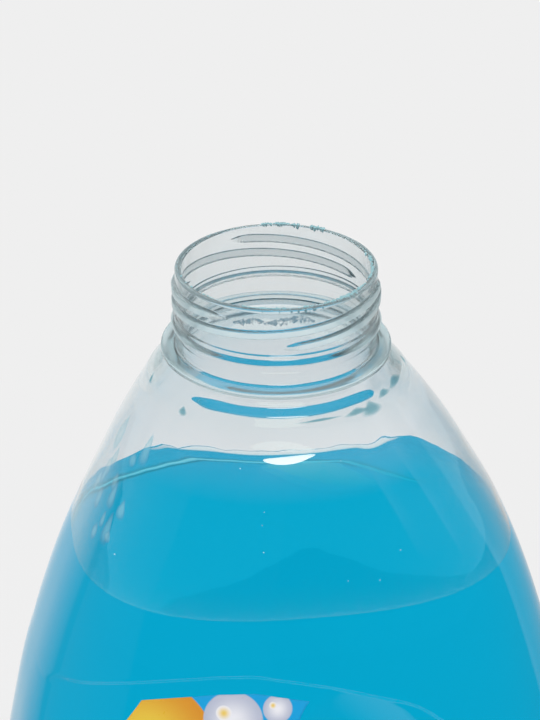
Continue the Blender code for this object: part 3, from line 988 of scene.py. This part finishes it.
class Label:
    """One printed film laid in its panel."""

    left: float = -52.6
    right: float = 27.0
    cut: float = 11.0
    slope: float = 0.72
    under: float = 4.8
    end: float = 250.0
    margin: float = 0.8
    thick: float = 0.12
    lift: float = 0.04
    row_spans: tuple[tuple[float, float, int], ...] = ((0.0, 24.0, 40), (25.0, 100.0, 76), (102.5, 166.0, 46))
    columns: int = 61

    def __init__(self, body: Body, side: Side) -> None:
        """Keep the body and which side the label is on."""
        self.body = body
        self.side = side

    def grid(self) -> tuple[Array, Array]:
        """Places of the sheet's points before they are laid on the panel.

        The left edge has cut corners, the right edge keeps a margin to the grip,
        and the top follows the arch.

        Returns:
            x and depth, each of shape (rows, columns).
        """
        body = self.body
        low = min(body.arch_d) + self.under
        rows = np.concatenate([np.linspace(*span) for span in self.row_spans])
        depth = low + rows * (self.end - low) / rows[-1]
        fade = np.clip(1.0 - rows / 30.0, 0.0, 1.0)
        cut = np.maximum(self.cut - (depth - low) * self.slope, self.cut - (self.end - depth) * self.slope)
        left = self.left + np.clip(cut, 0.0, self.cut)
        across = np.linspace(-25.0, self.right, 1500)
        drop = depth[:, None] + (body.arch(across) - min(body.arch_d))[None, :] * fade[:, None]
        inside = body.grip(across[None, :], drop) < 1.0 + self.margin / body.grip_w
        right = np.where(inside.any(axis=1), across[inside.argmax(axis=1)], self.right)
        share = np.linspace(0.0, 1.0, self.columns)
        x = left[:, None] + share[None, :] * (right - left)[:, None]
        return x, depth[:, None] + (body.arch(x) - min(body.arch_d)) * fade[:, None]

    def build(self, name: str, node: str, film: bpy.types.Material,
              backing: bpy.types.Material) -> bpy.types.Object:
        """Lay the sheet on the panel with a wall of its own and a UV map.

        Args:
            name: Name of the piece.
            node: The CAD node that it stands for.
            film: The printed film.
            backing: The film's inner side.

        Returns:
            The label object.
        """
        x, down = self.grid()
        sign = self.side.value
        angle = sign * np.arccos(np.clip(x / 80.0, -1.0, 1.0))
        for _ in range(60):
            angle = angle + sign * (self.body.plain(angle, down)[..., 0] - x) / 70.0
        under = self.body.skin(angle, down, np.array(-self.lift))
        over = self.body.skin(angle, down, np.array(-self.lift - self.thick))
        sheet = Sheet()
        top = sheet.add(over, wrap=False, flip=sign > 0)
        low = sheet.add(under, wrap=False, flip=sign < 0)
        sheet.hem(top, low, flip=sign < 0)
        item = sheet.build(name, "label_film")
        uv = item.data.uv_layers.new(name="label")
        loops = np.empty(len(item.data.loops), int)
        item.data.loops.foreach_get("vertex_index", loops)
        points = np.tile(np.stack([(x - self.left), (self.end - down)], -1).reshape(-1, 2), (2, 1)) / 100.0
        uv.data.foreach_set("uv", points[loops].ravel())
        item.data.materials.append(film)
        item.data.materials.append(backing)
        quads = (x.shape[0] - 1) * (x.shape[1] - 1)
        which = np.zeros(len(item.data.polygons), int)
        which[quads:2 * quads] = 1
        item.data.polygons.foreach_set("material_index", which)
        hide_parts(node)
        return item


@dataclass(frozen=True)
class DriedGel:
    """Dried gel: dull teal grains, or a broken film where torn is set; glow adds a painted glow, an emission
    in its own colour that lifts its brightness.
    """

    name: str
    colour: Colour
    torn: float = 0.0
    clear: float = 0.35
    glow: float = 0.0
    dense: float = 1.0

    def make(self) -> bpy.types.Material:
        """Build the material: noise varies its tone, and tears holes in a film; glow is a painted glow."""
        nodes = Nodes(self.name)
        place = nodes.add("TexCoord").outputs["Object"]
        grain = nodes.add("TexNoise", Vector=place, Scale=1500.0, Detail=3.0)
        dark = (self.colour[0] * 0.72, self.colour[1] * 0.82, self.colour[2] * 0.84, 1.0)
        shade = nodes.mix(nodes.ramp(grain.outputs[0], 0.35, 0.65), dark, self.colour)
        bump = nodes.add("Bump", Strength=0.3, Distance=0.0001, Height=grain.outputs[0]).outputs[0]
        # Emission by glow is painted light that brightens the dried gel; it is no lamp.
        solid = nodes.add("BsdfPrincipled", Base_Color=shade, Roughness=0.42, Normal=bump, IOR=1.4,
                          Transmission_Weight=self.clear, Emission_Color=self.colour,
                          Emission_Strength=self.glow)
        patch = nodes.add("TexNoise", Vector=place, Scale=700.0, Detail=4.0, Roughness=0.7)
        keep = nodes.ramp(patch.outputs[0], self.torn - 0.12, self.torn + 0.06, self.dense)
        return nodes.finish(nodes.blend(keep, nodes.add("BsdfTransparent"), solid))


class Residue:
    """Dried crumbs on the rim, a torn smear inside the bore, and drops, marks and foam on wall and gel; the
    foam patch also stands in for a painted highlight.

    Each arc of crumbs is its first and last angle, how many there are, their
    radius and their size. Drops and marks are an angle, a depth, a half width,
    a half height and a thickness. The share clumped of an arc's crumbs lies
    round a few middles.
    """

    seed: int = 21
    clumped: float = 0.6
    spread: float = 2.2
    crest_r: float = 22.35
    arcs: tuple[tuple[float, float, int, float, float], ...] = (
        (52.0, 90.0, 60, 22.7, 0.5), (-40.0, 16.0, 70, 21.8, 0.36), (-118.0, -62.0, 120, 21.8, 0.34),
        (-64.0, -40.0, 46, 21.9, 0.5), (-160.0, -134.0, 12, 21.7, 0.3), (96.0, 170.0, 8, 22.6, 0.16),
        (176.0, 196.0, 5, 22.0, 0.2))
    smear_arc: Pair = (-124.0, -76.0)
    smear_depth: Numbers = (4.3, 3.7, 3.0, 3.5, 3.2, 2.7, 2.6, 3.8)
    smear_half: Numbers = (0.25, 0.7, 0.55, 0.35, 0.8, 0.65, 0.8, 0.25)
    film_arc: Pair = (-122.0, -60.0)
    film_depth: Numbers = (0.9, 0.8, 0.85, 0.9, 0.8)
    film_half: Numbers = (0.05, 0.14, 0.16, 0.2, 0.05)
    film_columns: int = 260
    drop_count: int = 17
    drop_arc: Pair = (-179.0, -154.0)
    drop_depth: Pair = (36.0, 61.0)
    drop_half: Pair = (1.1, 2.9)
    runs: tuple[Five, ...] = (
        (-5.0, 50.0, 2.0, 8.0, 0.2), (4.0, 44.0, 2.4, 10.0, 0.22), (12.0, 52.0, 2.0, 7.0, 0.2))
    marks: tuple[Five, ...] = (
        (-143.0, 25.9, 1.5, 1.2, 0.03), (-174.0, 25.0, 1.0, 1.4, 0.03), (-53.0, 25.4, 3.8, 1.7, 0.03),
        (-61.0, 24.9, 4.4, 0.8, 0.03), (-79.0, 24.7, 7.0, 0.35, 0.03), (-30.0, 23.9, 5.0, 1.0, 0.03),
        (-42.0, 24.1, 3.2, 0.8, 0.03), (-6.0, 24.6, 1.3, 1.2, 0.03))
    marks_out: float = 0.08
    bubble_count: int = 9
    bubble_reach: Pair = (48.0, 37.0)
    foam_at: Pair = (4.4, 35.2)
    foam_half: Pair = (6.0, 4.6)

    def __init__(self, neck: Neck, body: Body) -> None:
        """Keep the neck and body that the gel sticks to."""
        self.neck = neck
        self.body = body
        self.rng = np.random.default_rng(self.seed)

    def lump(self, centre: Array, size: Array) -> Array:
        """Closed grid of one lump: a ball stretched by size and dented by two sine waves.

        Args:
            centre: Place of its middle (x, y, depth).
            size: Half lengths along the three axes.

        Returns:
            Points of shape (6, 9, 3), first and last row at the poles.
        """
        tall, round_ = np.meshgrid(np.linspace(0.02, math.pi - 0.02, 6), turns(9), indexing="ij")
        p, q = self.rng.uniform(0.0, 6.3, 2)
        dent = 1.0 + 0.24 * np.sin(2.0 * round_ + p) * np.sin(2.0 * tall + q)
        dent = dent + 0.16 * np.sin(3.0 * round_ - q)
        ball = np.stack([np.sin(tall) * np.cos(round_), np.sin(tall) * np.sin(round_), np.cos(tall)], -1)
        return centre + ball * dent[..., None] * size

    def put(self, sheet: Sheet, name: str, material: bpy.types.Material) -> bpy.types.Object:
        """Make one piece of residue from its sheet."""
        item = sheet.build(name, "blue_gel")
        item.data.materials.append(material)
        return item

    def crumbs(self, material: bpy.types.Material) -> None:
        """Scatter crumbs along arcs of the rim: more of them where an arc is dense."""
        sheet = Sheet()
        for first, last, count, radius, size in self.arcs:
            clump = self.rng.uniform(first, last, max(2, count // 9))
            for _ in range(count):
                if self.rng.random() < self.clumped:
                    degrees = self.rng.choice(clump) + self.rng.normal(0.0, self.spread)
                else:
                    degrees = self.rng.uniform(first, last)
                a = math.radians(float(np.clip(degrees, first, last)))
                r = radius + self.rng.normal(0.0, 0.14)
                grain = size * self.rng.uniform(0.35, 1.15)
                lift = max(0.0, abs(r - self.crest_r) - 0.3) * 0.6
                down = lift + self.rng.uniform(0.0, 0.35) * (1.0 if r < 21.8 else 0.15)
                down = max(down, 1.15 * grain - 0.3)
                centre = np.array([self.neck.axis_x + r * math.cos(a), r * math.sin(a), down])
                sheet.ball(self.lump(centre, grain * self.rng.uniform(0.7, 1.2, 3)))
        self.put(sheet, "rim_crumbs", material)

    def ribbon(self, name: str, arc: Pair, middle: Numbers, half: Numbers,
               material: bpy.types.Material) -> None:
        """Thin torn film on the bore.

        Args:
            name: Name of the piece.
            arc: First and last angle in degrees.
            middle: Depth of its middle line at evenly spaced angles.
            half: Half width at the same angles.
            material: The film's material.
        """
        share = np.linspace(0.0, 1.0, self.film_columns)
        angle = np.radians(arc[0] + share * (arc[1] - arc[0]))
        spaced = np.linspace(0.0, 1.0, len(middle))
        rough = 0.5 * ripple(share * 2.0 * math.pi, 3, 8, 40)
        line = np.interp(share, spaced, middle) + 0.16 * rough
        width = np.interp(share, spaced, half) * np.clip(1.0 + 0.7 * rough, 0.15, 2.0)
        across = np.linspace(-1.0, 1.0, 7)[:, None]
        depth = line[None, :] + across * width[None, :]
        skin = self.neck.bore_r - 0.03
        sheet = Sheet()
        near = self.neck.place(angle[None, :], skin - 0.07 - 0.05 * (across**2 - 1.0), depth)
        top = sheet.add(near, wrap=False, flip=True)
        low = sheet.add(self.neck.place(angle[None, :], np.array(skin), depth), wrap=False)
        sheet.hem(top, low, flip=True)
        self.put(sheet, name, material)

    def drops(self) -> list[Five]:
        """Gel drops on the inner wall: a few long runs at the right, and random drops at the left."""
        drops = list(self.runs)
        for _ in range(self.drop_count):
            wide = self.rng.uniform(*self.drop_half)
            degrees, depth = self.rng.uniform(*self.drop_arc), self.rng.uniform(*self.drop_depth)
            drops.append((degrees, depth, wide, wide * self.rng.uniform(0.8, 1.7), 0.05 + 0.05 * wide))
        return drops

    def lenses(self, name: str, drops: list[Five], material: bpy.types.Material, wall: Array) -> None:
        """Lenses t(1 - r^2)^2 on the shoulder that are wider at their foot.

        Args:
            name: Name of the piece.
            drops: Angle in degrees, depth, half width, half height and thickness of each.
            material: What they are made of, which reads heart, 1 in the middle and 0 at the edge.
            wall: How far under the outer skin they lie, at depths of 0, 1, 2 ... mm.
        """
        sheet = Sheet()
        hearts = []
        radius, angle = np.meshgrid(np.linspace(0.05, 1.0, 7), turns(20), indexing="ij")
        u, v = radius * np.cos(angle), radius * np.sin(angle)
        for degrees, depth, wide, tall, thick in drops:
            d = depth + tall * v
            girth = float(self.body.half_width(np.array(depth)))
            share = 0.75 + 0.35 * v + 0.12 * np.sin(3.0 * v + depth)
            a = math.radians(degrees) + wide * share * u / girth
            gauge = np.interp(d, np.arange(len(wall)), wall)
            bulge = thick * np.clip(1.0 - radius**2, 0.0, 1.0) ** 2
            sheet.lens(self.body.skin(a, d, gauge + 0.02 + bulge), self.body.skin(a, d, gauge + 0.01))
            hearts += [smooth(1.0 - radius**2).ravel()] * 2
        item = self.put(sheet, name, material)
        item.data.attributes.new("heart", "FLOAT", "POINT").data.foreach_set("value", np.concatenate(hearts))

    def bubbles(self, material: bpy.types.Material, gel: GelFill) -> None:
        """Small bubbles on the gel's top."""
        sheet = Sheet()
        for _ in range(self.bubble_count):
            angle, share = self.rng.uniform(0.0, 2.0 * math.pi), math.sqrt(self.rng.uniform(0.02, 0.9))
            size = self.rng.uniform(0.07, 0.13)
            across, along = self.bubble_reach
            x, y = share * across * math.cos(angle), share * along * math.sin(angle)
            sheet.ball(self.lump(np.array([x, y, gel.top - 0.3 * size]), np.array([size, size, size])))
        self.put(sheet, "gel_bubbles", material)

    def foam(self, material: bpy.types.Material, gel: GelFill) -> None:
        """Flat white foam on the gel near its far edge that also stands in for a painted highlight there: a
        lens (1 - r^2)^0.7 over a bean-shaped outline.
        """
        radius, angle = np.meshgrid(np.linspace(0.05, 1.0, 9), turns(48), indexing="ij")
        wave = 1.0 + 0.1 * np.sin(2.0 * angle + 0.6) + 0.06 * np.sin(3.0 * angle)
        u, v = radius * np.cos(angle) * wave, radius * np.sin(angle) * wave
        x = self.foam_at[0] + self.foam_half[0] * u
        y = self.foam_at[1] + self.foam_half[1] * v + 1.6 * u + 1.0 * u * u
        bulge = np.clip(1.0 - radius**2, 0.0, 1.0)
        sheet = Sheet()
        over = np.stack([x, y, gel.top - 0.05 - 0.5 * bulge**0.7], -1)
        sheet.lens(over, np.stack([x, y, gel.top - 0.03 + 0.0 * bulge], -1))
        self.put(sheet, "foam_and_painted_highlight", material)

    def build(self, shell: Shell, gel: GelFill) -> None:
        """Make all the residue of this bottle.

        Args:
            shell: The bottle, for its wall thickness.
            gel: The gel that foam and bubbles float on.
        """
        # The glow of the crumbs and of the smear is painted light that brightens them.
        self.crumbs(DriedGel("dried_crumbs", tone(178, 220, 226), clear=0.4, glow=0.12).make())
        smear = DriedGel("dark_smear", tone(144, 186, 206), torn=0.5, clear=0.0, glow=0.22, dense=0.62)
        self.ribbon("bore_smear", self.smear_arc, self.smear_depth, self.smear_half, smear.make())
        film = DriedGel("rim_film", tone(80, 200, 220), torn=0.3, clear=0.6)
        self.ribbon("rim_film", self.film_arc, self.film_depth, self.film_half, film.make())
        depths = np.arange(0.0, 80.0)
        # Wet drops: the gel's own tint, with painted shade in a ring at the edge and a painted highlight in
        # the middle.
        wet = TintWithPaintedShading("wet_drop", (0.8, 0.92, 0.95, 1.0), ring=0.9, white=0.2)
        self.lenses("wall_drops", self.drops(), wet.make(), shell.wall(depths))
        thick = TintWithPaintedShading("thick_plastic", (0.56, 0.75, 0.79, 1.0))
        self.lenses("join_marks", list(self.marks), thick.make(), np.full(len(depths), -self.marks_out))
        # White foam with a painted glow; the flat patch also stands in for a highlight on the gel's far edge.
        white = DriedGel("foam", tone(236, 242, 243), clear=0.1, glow=0.75).make()
        self.bubbles(white, gel)
        self.foam(white, gel)


class Studio:
    """Pale floor and surround, soft lamps and the camera.

    The stops give the grey that gloss sees at an angle counted in degrees from
    the front over the right side to the back. The rises say between which
    heights of a direction (0 level, 1 straight up) a part of the room comes in.
    The camera's place is in millimetres from the middle of the rim's level.
    """

    pale: Colour = tone(239, 239, 239)
    dark: Colour = (0.08, 0.1, 0.105, 1.0)
    ceiling: Colour = (0.85, 0.88, 0.9, 1.0)
    table: Colour = (0.55, 0.56, 0.57, 1.0)
    box_grey: float = 0.42
    daylight: Colour = (0.8, 0.8, 0.8, 1.0)
    floor_plain: Colour = (0.82, 0.82, 0.82, 1.0)
    floor_lit: Colour = (0.84, 0.84, 0.84, 1.0)
    strip_rise: Pair = (0.03, 0.14)
    box_rise: Pair = (0.25, 0.34)
    dark_rise: Pair = (0.4, 0.66)
    ceiling_rise: Pair = (0.86, 1.0)
    strip_arc: Pair = (40.0, 100.0)
    shadow_in: Pair = (0.5, 0.12)
    table_in: Pair = (0.24, 0.12)
    lens: float = 121.2
    camera_at: Triple = (-78.34, -490.3, 238.0)
    camera_down: float = 27.878
    camera_turn: float = -8.43
    lamps: tuple[tuple[str, Triple, Pair, float], ...] = (
        ("left_lamp", (-1.1, -0.7, 0.9), (1.2, 1.2), 4.0), ("right_lamp", (1.1, -0.5, 0.9), (0.9, 1.2), 3.0),
        ("top_lamp", (0.0, 0.2, 1.5), (1.2, 1.2), 4.0))
    floor_r: float = 6.0
    floor_gap: float = 0.0002
    stops: tuple[Pair, ...] = (
        (0.0, 0.03), (48.0, 0.03), (49.0, 0.3), (58.0, 0.13), (76.0, 0.05), (77.0, 0.4), (86.0, 0.18),
        (102.0, 0.07), (103.0, 0.42), (110.0, 0.28), (128.0, 0.34), (150.0, 0.66), (165.0, 0.86),
        (195.0, 0.86), (212.0, 0.64), (228.0, 0.38), (233.0, 0.28), (237.0, 0.1), (242.0, 0.09),
        (243.0, 0.16), (299.0, 0.1), (301.0, 0.04))

    def mirrored(self, nodes: Nodes, place: Socket, strips: bool) -> Socket:
        """Grey that glossy surfaces see in a direction, by its angle round the bottle.

        Args:
            nodes: Tree of the world or of the floor.
            place: Direction or position.
            strips: Whether the front right has its two light strips.

        Returns:
            The grey: a pale backdrop behind, soft boxes on both sides and a dark room in front.
        """
        parts = nodes.add("SeparateXYZ", Vector=place)
        angle = nodes.maths("ARCTAN2", parts.outputs[1], parts.outputs[0])
        turn = nodes.maths("FRACT", nodes.maths("ADD", nodes.maths("DIVIDE", angle, 2.0 * math.pi), 1.25))
        ramp = nodes.add("ValToRGB", Fac=turn)
        first, last = self.strip_arc
        stops = [stop for stop in self.stops if strips or not first < stop[0] < last]
        elements = ramp.color_ramp.elements
        for number, (degrees, grey) in enumerate(stops):
            stop = elements[number] if number < 2 else elements.new(degrees / 360.0)
            stop.position = degrees / 360.0
            stop.color = (grey, grey, grey, 1.0)
        return ramp.outputs[0]

    def world(self) -> None:
        """Pale surround for the camera and through glass, and a studio room for gloss."""
        nodes = Nodes("studio", world=True)
        bpy.context.scene.world = nodes.material
        path = nodes.add("LightPath")
        place = nodes.add("TexCoord").outputs["Generated"]
        right, back, height = nodes.add("SeparateXYZ", Vector=place).outputs
        box = nodes.ramp(height, *self.box_rise, self.box_grey, soft=True)
        for side, low, top in ((right, -0.35, -0.05), (back, 0.05, -0.15)):
            box = nodes.maths("MULTIPLY", box, nodes.ramp(side, low, top))
        high = nodes.ramp(height, *self.dark_rise, soft=True)
        rise = nodes.ramp(height, *self.strip_rise, soft=True)
        walls = nodes.mix(rise, self.mirrored(nodes, place, False), self.mirrored(nodes, place, True))
        room = nodes.mix(high, nodes.mix(box, walls, WHITE), self.dark)
        room = nodes.mix(nodes.ramp(height, *self.ceiling_rise, soft=True), room, self.ceiling)
        gloss = nodes.add("Background", Color=room)
        seen = nodes.add("Background", Color=self.pale)
        light = nodes.add("Background", Color=self.daylight)
        clear = nodes.maths("MAXIMUM", path.outputs["Is Camera Ray"], path.outputs["Is Transmission Ray"])
        nodes.finish(nodes.blend(clear, nodes.blend(path.outputs["Is Glossy Ray"], light, gloss), seen))

    def floor(self) -> None:
        """Large round floor: pale to the camera and through glass, with the bottle's soft shadow near it."""
        angle = turns(64)
        ring = np.stack([np.cos(angle), np.sin(angle), 0.0 * angle], -1) * self.floor_r
        ring[:, 2] -= self.floor_gap
        mesh = bpy.data.meshes.new("floor")
        mesh.from_pydata(ring.tolist(), [], [list(range(len(ring)))])
        item = bpy.data.objects.new("floor", mesh)
        bpy.context.scene.collection.objects.link(item)
        nodes = Nodes("pale_floor")
        path = nodes.add("LightPath")
        place = nodes.add("TexCoord").outputs["Object"]
        far = nodes.add("VectorMath", {"operation": "LENGTH"}, i0=place).outputs["Value"]
        near = nodes.ramp(far, *self.shadow_in, 0.5, soft=True)
        plain = nodes.add("BsdfDiffuse", Color=self.floor_plain)
        lit = nodes.add("BsdfDiffuse", Color=self.floor_lit)
        glow = nodes.add("Emission", Color=self.pale)
        table = nodes.ramp(far, *self.table_in, soft=True)
        gloss = nodes.add("Emission", Color=nodes.mix(table, self.mirrored(nodes, place, False), self.table))
        shader = nodes.blend(path.outputs["Is Camera Ray"], plain, nodes.blend(near, glow, lit))
        shader = nodes.blend(path.outputs["Is Transmission Ray"], shader, glow)
        mesh.materials.append(nodes.finish(nodes.blend(path.outputs["Is Glossy Ray"], shader, gloss)))

    def lamp(self, name: str, place: Triple, size: Pair, watts: float) -> None:
        """Add one soft rectangular lamp that faces the bottle's shoulder.

        Args:
            name: Name of the lamp.
            place: Where it hangs, in metres.
            size: Width and height in metres.
            watts: Power.
        """
        data = bpy.data.lights.new(name, "AREA")
        data.shape = "RECTANGLE"
        data.size, data.size_y = size
        data.energy = watts
        item = bpy.data.objects.new(name, data)
        item.location = place
        away = Vector(place) - Vector((0.0, 0.0, 0.2))
        item.rotation_euler = away.to_track_quat("Z", "Y").to_euler()
        item.visible_glossy = False
        item.visible_transmission = False
        bpy.context.scene.collection.objects.link(item)

    def camera(self) -> None:
        """Camera fitted to the rim, support ring and gel level of the photograph."""
        data = bpy.data.cameras.new("camera")
        data.lens = self.lens
        data.sensor_width = 36.0
        data.clip_start, data.clip_end = 0.01, 50.0
        item = bpy.data.objects.new("camera", data)
        right, back, above = self.camera_at
        item.location = (right * MM, back * MM, (HEIGHT + above) * MM)
        item.rotation_euler = (math.radians(90.0 - self.camera_down), 0.0, math.radians(self.camera_turn))
        bpy.context.scene.collection.objects.link(item)
        bpy.context.scene.camera = item

    def build(self) -> None:
        """Set the view, lamps, floor and camera."""
        scene = bpy.context.scene
        scene.view_settings.view_transform = "Standard"
        scene.cycles.max_bounces = 32
        scene.cycles.transmission_bounces = 28
        scene.cycles.glossy_bounces = 12
        scene.cycles.transparent_max_bounces = 16
        self.camera()
        self.world()
        self.floor()
        for lamp in self.lamps:
            self.lamp(*lamp)


def main() -> None:
    """Build every piece in order and report it."""
    logging.basicConfig(level=logging.INFO, format="%(name)s %(message)s")
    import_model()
    neck, body = Neck(), Body()
    Studio().build()
    gel = GelFill(body)
    shell = Shell(neck, body, gel)
    shell.build(ClearPlastic().make())
    gel.build(BlueGel().make())
    film, backing = LabelPrint().make(), LabelBacking().make()
    Label(body, Side.FRONT).build("label_front", "front_label", film, backing)
    Label(body, Side.BACK).build("label_back", "back_label", film, backing)
    Residue(neck, body).build(shell, gel)


if __name__ == "__main__":
    main()
